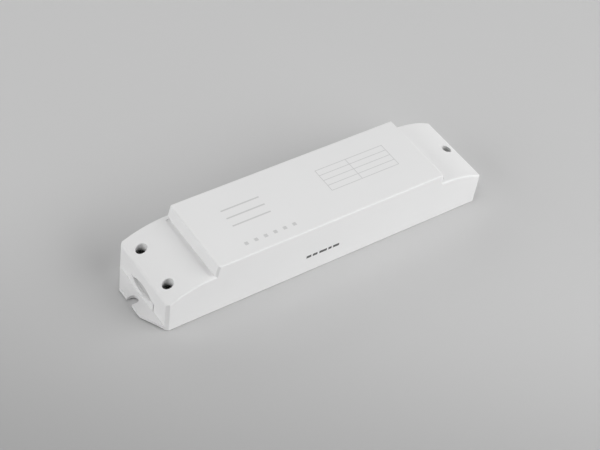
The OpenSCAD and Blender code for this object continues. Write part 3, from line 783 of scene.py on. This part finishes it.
def add_control_chip():
    """A soft edged body under the board, and the bent legs on both of its sides."""
    low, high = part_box("control_chip")
    middle = middle_of(low, high)
    size = (high[0] - low[0], CHIP_BODY_WIDTH, high[2] - low[2] - CHIP_STANDOFF)
    mesh = bpy.data.meshes.new("control_chip_body")
    work = bmesh.new()
    bmesh.ops.create_cube(work, size=1.0)
    for point in work.verts:
        taper = CHIP_TAPER if point.co.z < 0 else 1.0
        point.co *= Vector((size[0] * taper, size[1] * taper, size[2]))
        point.co += middle - Vector((0, 0, CHIP_STANDOFF / 2))
    bmesh.ops.bevel(work, geom=work.edges[:], offset=CHIP_BEVEL, segments=2, profile=0.5, affect="EDGES")
    work.to_mesh(mesh)
    work.free()
    mesh.materials.append(FINISHES["black_resin"])
    settle("control_chip_body", mesh, "control_chip")
    tree = Tree("control_chip_leg", LEG_SIZES)
    reach = tree.source["Leg reach"]
    rise = tree.source["Leg rise"]
    bend = tree.math("MULTIPLY", reach, LEG_BEND)
    path = tree.add("GeometryNodeCurvePrimitiveBezierSegment", {
        "Resolution": 8,
        "Start": (0, 0, 0),
        "Start Handle": tree.vector(0.0, bend, 0.0),
        "End Handle": tree.vector(0.0, tree.math("SUBTRACT", reach, bend), rise),
        "End": tree.vector(0.0, reach, rise),
    })
    width = tree.source["Leg width"]
    thickness = tree.source["Leg thickness"]
    corner = tree.math("MULTIPLY", thickness, CORNER_SHARE)
    leg = tree.bar(path.outputs["Curve"], width, thickness, corner)
    index = tree.add("GeometryNodeInputIndex").outputs["Index"]
    side = tree.math("FLOOR", tree.math("DIVIDE", index, float(LEGS_A_SIDE)))
    turn = tree.vector(0.0, 0.0, tree.math("MULTIPLY", side, pi))
    tree.close(tree.source["Geometry"], leg, turn, FINISHES["plated_steel"])
    root_y = (high[1] - low[1]) / 2 - LEG_SIZES["Leg reach"]
    root_z = high[2] - LEG_SIZES["Leg rise"] - LEG_SIZES["Leg thickness"] / 2
    steps = [(i - (LEGS_A_SIDE - 1) / 2) * LEG_PITCH for i in range(LEGS_A_SIDE)]
    places = [(middle.x + step, middle.y + s * root_y, root_z) for s in (1, -1) for step in steps]
    settle("control_chip_legs", tree.mesh("control_chip_legs", places), None)


def dress_nodes():
    """Gives every CAD node the finish of its slot."""
    for name, node in frame["nodes"].items():
        node.data.materials.clear()
        node.data.materials.append(FINISHES[SLOT_OF[name]])


def add_object(name, data):
    piece = bpy.data.objects.new(name, data)
    bpy.context.scene.collection.objects.link(piece)
    return piece


def smooth_copy(node, name):
    """A merged, smoothly shaded copy of a CAD node, which then stands for it."""
    source = frame["nodes"][node].data
    mesh = bpy.data.meshes.new(name)
    mesh.from_pydata([v.co for v in source.vertices], [], [p.vertices for p in source.polygons])
    work = bmesh.new()
    work.from_mesh(mesh)
    bmesh.ops.remove_doubles(work, verts=work.verts, dist=MERGE_GAP)
    bmesh.ops.dissolve_degenerate(work, edges=work.edges, dist=MERGE_GAP)
    work.to_mesh(mesh)
    work.free()
    mesh.materials.append(FINISHES[SLOT_OF[node]])
    settle(name, mesh, node)


def outward(azimuth, elevation):
    """Direction from the part towards a place around it, counted from the near long side."""
    return Vector((sin(azimuth) * cos(elevation), -cos(azimuth) * cos(elevation), sin(elevation)))


def add_camera():
    """The camera of the photograph, rolled about its own axis."""
    back = outward(AZIMUTH, ELEVATION)
    right = Vector((cos(AZIMUTH), sin(AZIMUTH), 0))
    up = back.cross(right)
    across = cos(ROLL) * right + sin(ROLL) * up
    upright = cos(ROLL) * up - sin(ROLL) * right
    data = bpy.data.cameras.new("camera")
    data.lens = LENS
    data.sensor_width = SENSOR
    data.sensor_fit = "HORIZONTAL"
    data.clip_start = CLIP_START
    camera = add_object("camera", data)
    turn = Matrix((across, upright, back)).transposed().to_4x4()
    camera.matrix_world = Matrix.Translation(AIM + DISTANCE * back) @ turn
    bpy.context.scene.camera = camera


def add_floor():
    """Plain pale paper with painted shade that grows darker towards one side."""
    mesh = bpy.data.meshes.new("floor")
    corners = [(x * FLOOR_HALF, y * FLOOR_HALF, 0) for x, y in ((-1, -1), (1, -1), (1, 1), (-1, 1))]
    mesh.from_pydata(corners, [], [(0, 1, 2, 3)])
    finish = Finish("floor_paper")
    turned = finish.add("ShaderNodeMapping")
    finish.feed(turned.inputs["Vector"], finish.place)
    turned.inputs["Rotation"].default_value = (0, 0, pi - FALL_TURN)
    apart = finish.add("ShaderNodeSeparateXYZ")
    finish.feed(apart.inputs["Vector"], turned.outputs["Vector"])
    # Painted shade: the floor's colour falls from light to dark past the mains end, in place of light
    # falling off there.
    fall = finish.add("ShaderNodeMapRange", interpolation_type="SMOOTHSTEP")
    finish.feed(fall.inputs["Value"], apart.outputs["X"])
    fall.inputs["From Min"].default_value = FALL_START
    fall.inputs["From Max"].default_value = FALL_END
    level = FLOOR_GREY * FALL_LIGHT
    light = finish.blend(finish.noise(scale=9), grey(level * FLOOR_CLOUD), grey(level))
    finish.colour(finish.blend(fall.outputs["Result"], light, grey(FLOOR_GREY * FALL_DARK)))
    finish.set("Roughness", FLOOR_ROUGHNESS)
    finish.set("Specular IOR Level", 0.0)
    mesh.materials.append(finish.material)
    add_object("floor", mesh)


def add_lights():
    """Soft panels around the part, all aimed at the middle of the view."""
    for name, azimuth, elevation, power, width in LAMPS:
        data = bpy.data.lights.new(name, "AREA")
        data.shape = "RECTANGLE"
        data.size = width
        data.size_y = LAMP_HEIGHT
        data.energy = power
        lamp = add_object(name, data)
        lamp.location = LAMP_DISTANCE * outward(radians(azimuth), radians(elevation))
        lamp.rotation_euler = (lamp.location - AIM).to_track_quat("Z", "Y").to_euler()


def add_background():
    """A pale grey around the floor that only shows, and gives no light of its own."""
    world = bpy.data.worlds.new("studio")
    world.use_nodes = True
    tree = world.node_tree
    path = tree.nodes.new("ShaderNodeLightPath")
    seen = path.outputs["Is Camera Ray"]
    for label in ("Is Glossy Ray", "Is Transmission Ray"):
        either = tree.nodes.new("ShaderNodeMath")
        either.operation = "MAXIMUM"
        tree.links.new(seen, either.inputs[0])
        tree.links.new(path.outputs[label], either.inputs[1])
        seen = either.outputs[0]
    level = tree.nodes.new("ShaderNodeMath")
    level.operation = "MULTIPLY"
    tree.links.new(seen, level.inputs[0])
    level.inputs[1].default_value = SEEN_LEVEL
    background = tree.nodes["Background"]
    background.inputs["Color"].default_value = grey(1.0)
    tree.links.new(level.outputs[0], background.inputs["Strength"])
    bpy.context.scene.world = world


add_camera()
dress_nodes()
smooth_copy("cover", "cover_shell")
smooth_copy("base", "base_plate")
add_screws()
add_choke_turns()
add_output_coil()
add_small_chips()
add_control_chip()
add_floor()
add_lights()
add_background()
bpy.context.scene.view_settings.view_transform = "Standard"
